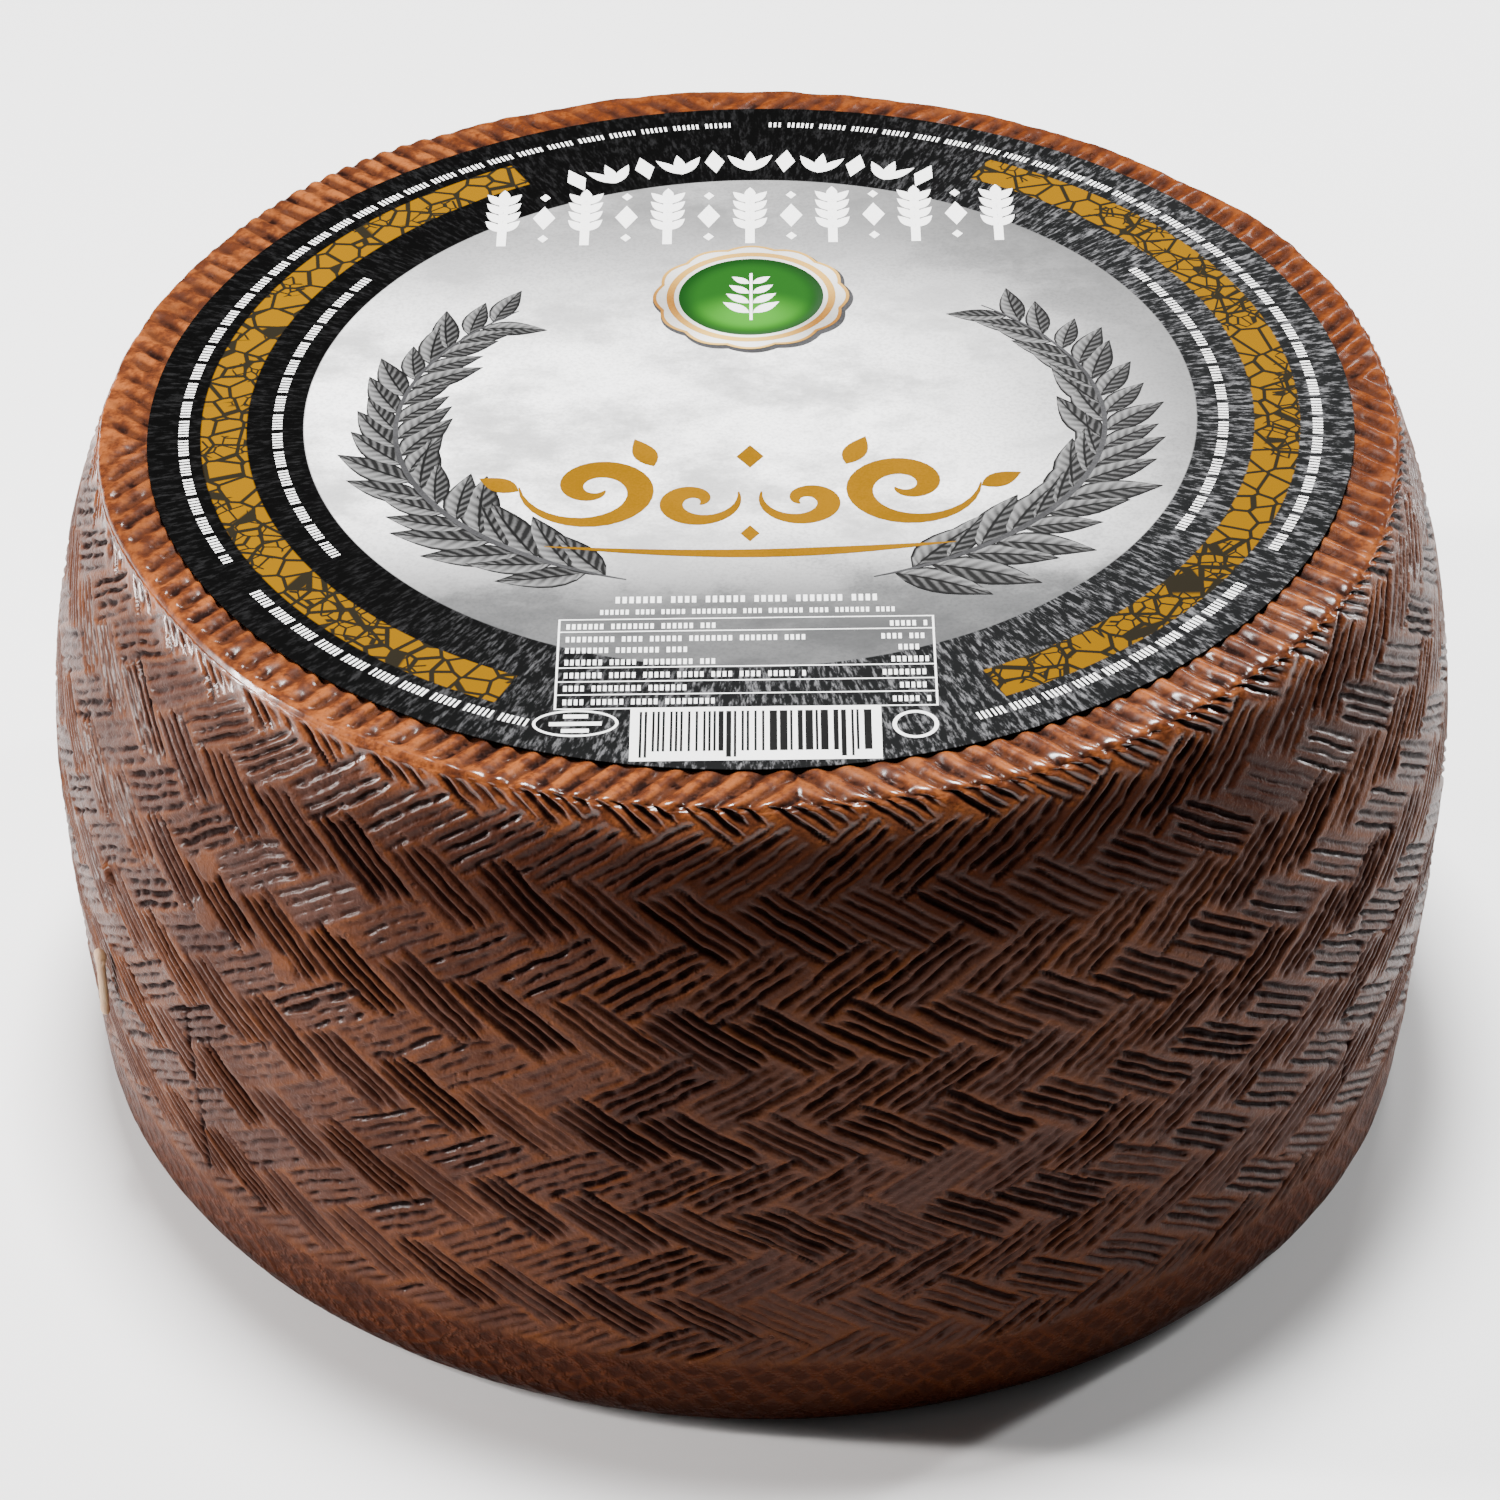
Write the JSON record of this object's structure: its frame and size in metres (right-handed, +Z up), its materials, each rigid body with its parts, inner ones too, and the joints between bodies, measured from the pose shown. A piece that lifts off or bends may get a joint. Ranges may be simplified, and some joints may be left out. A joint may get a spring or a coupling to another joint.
{
  "type": "cheese wheel",
  "caption": "Whole ripened cheese wheel with a barrel-shaped, basket-printed dark brown rind, a ridged top edge and a round paper label; it stands on its flat base.",
  "frame": {"origin": "middle of the flat base, on the surface that the wheel stands on", "axes": "+Z up along the wheel's axis; -Y is the front, the side that the picture shows; +X is to the right of the front"},
  "size_m": [0.2044, 0.2053, 0.1065],
  "materials": {
    "rind": "oiled dark brown rind, satin, paler orange-brown at the top edge",
    "label": "printed paper, satin, black and ochre rings round a light grey disc",
    "straw": "pale dry straw"
  },
  "bodies": {
    "root": {"cheese": "rind", "label": "label", "straw": "straw"}
  },
  "joints": []
}
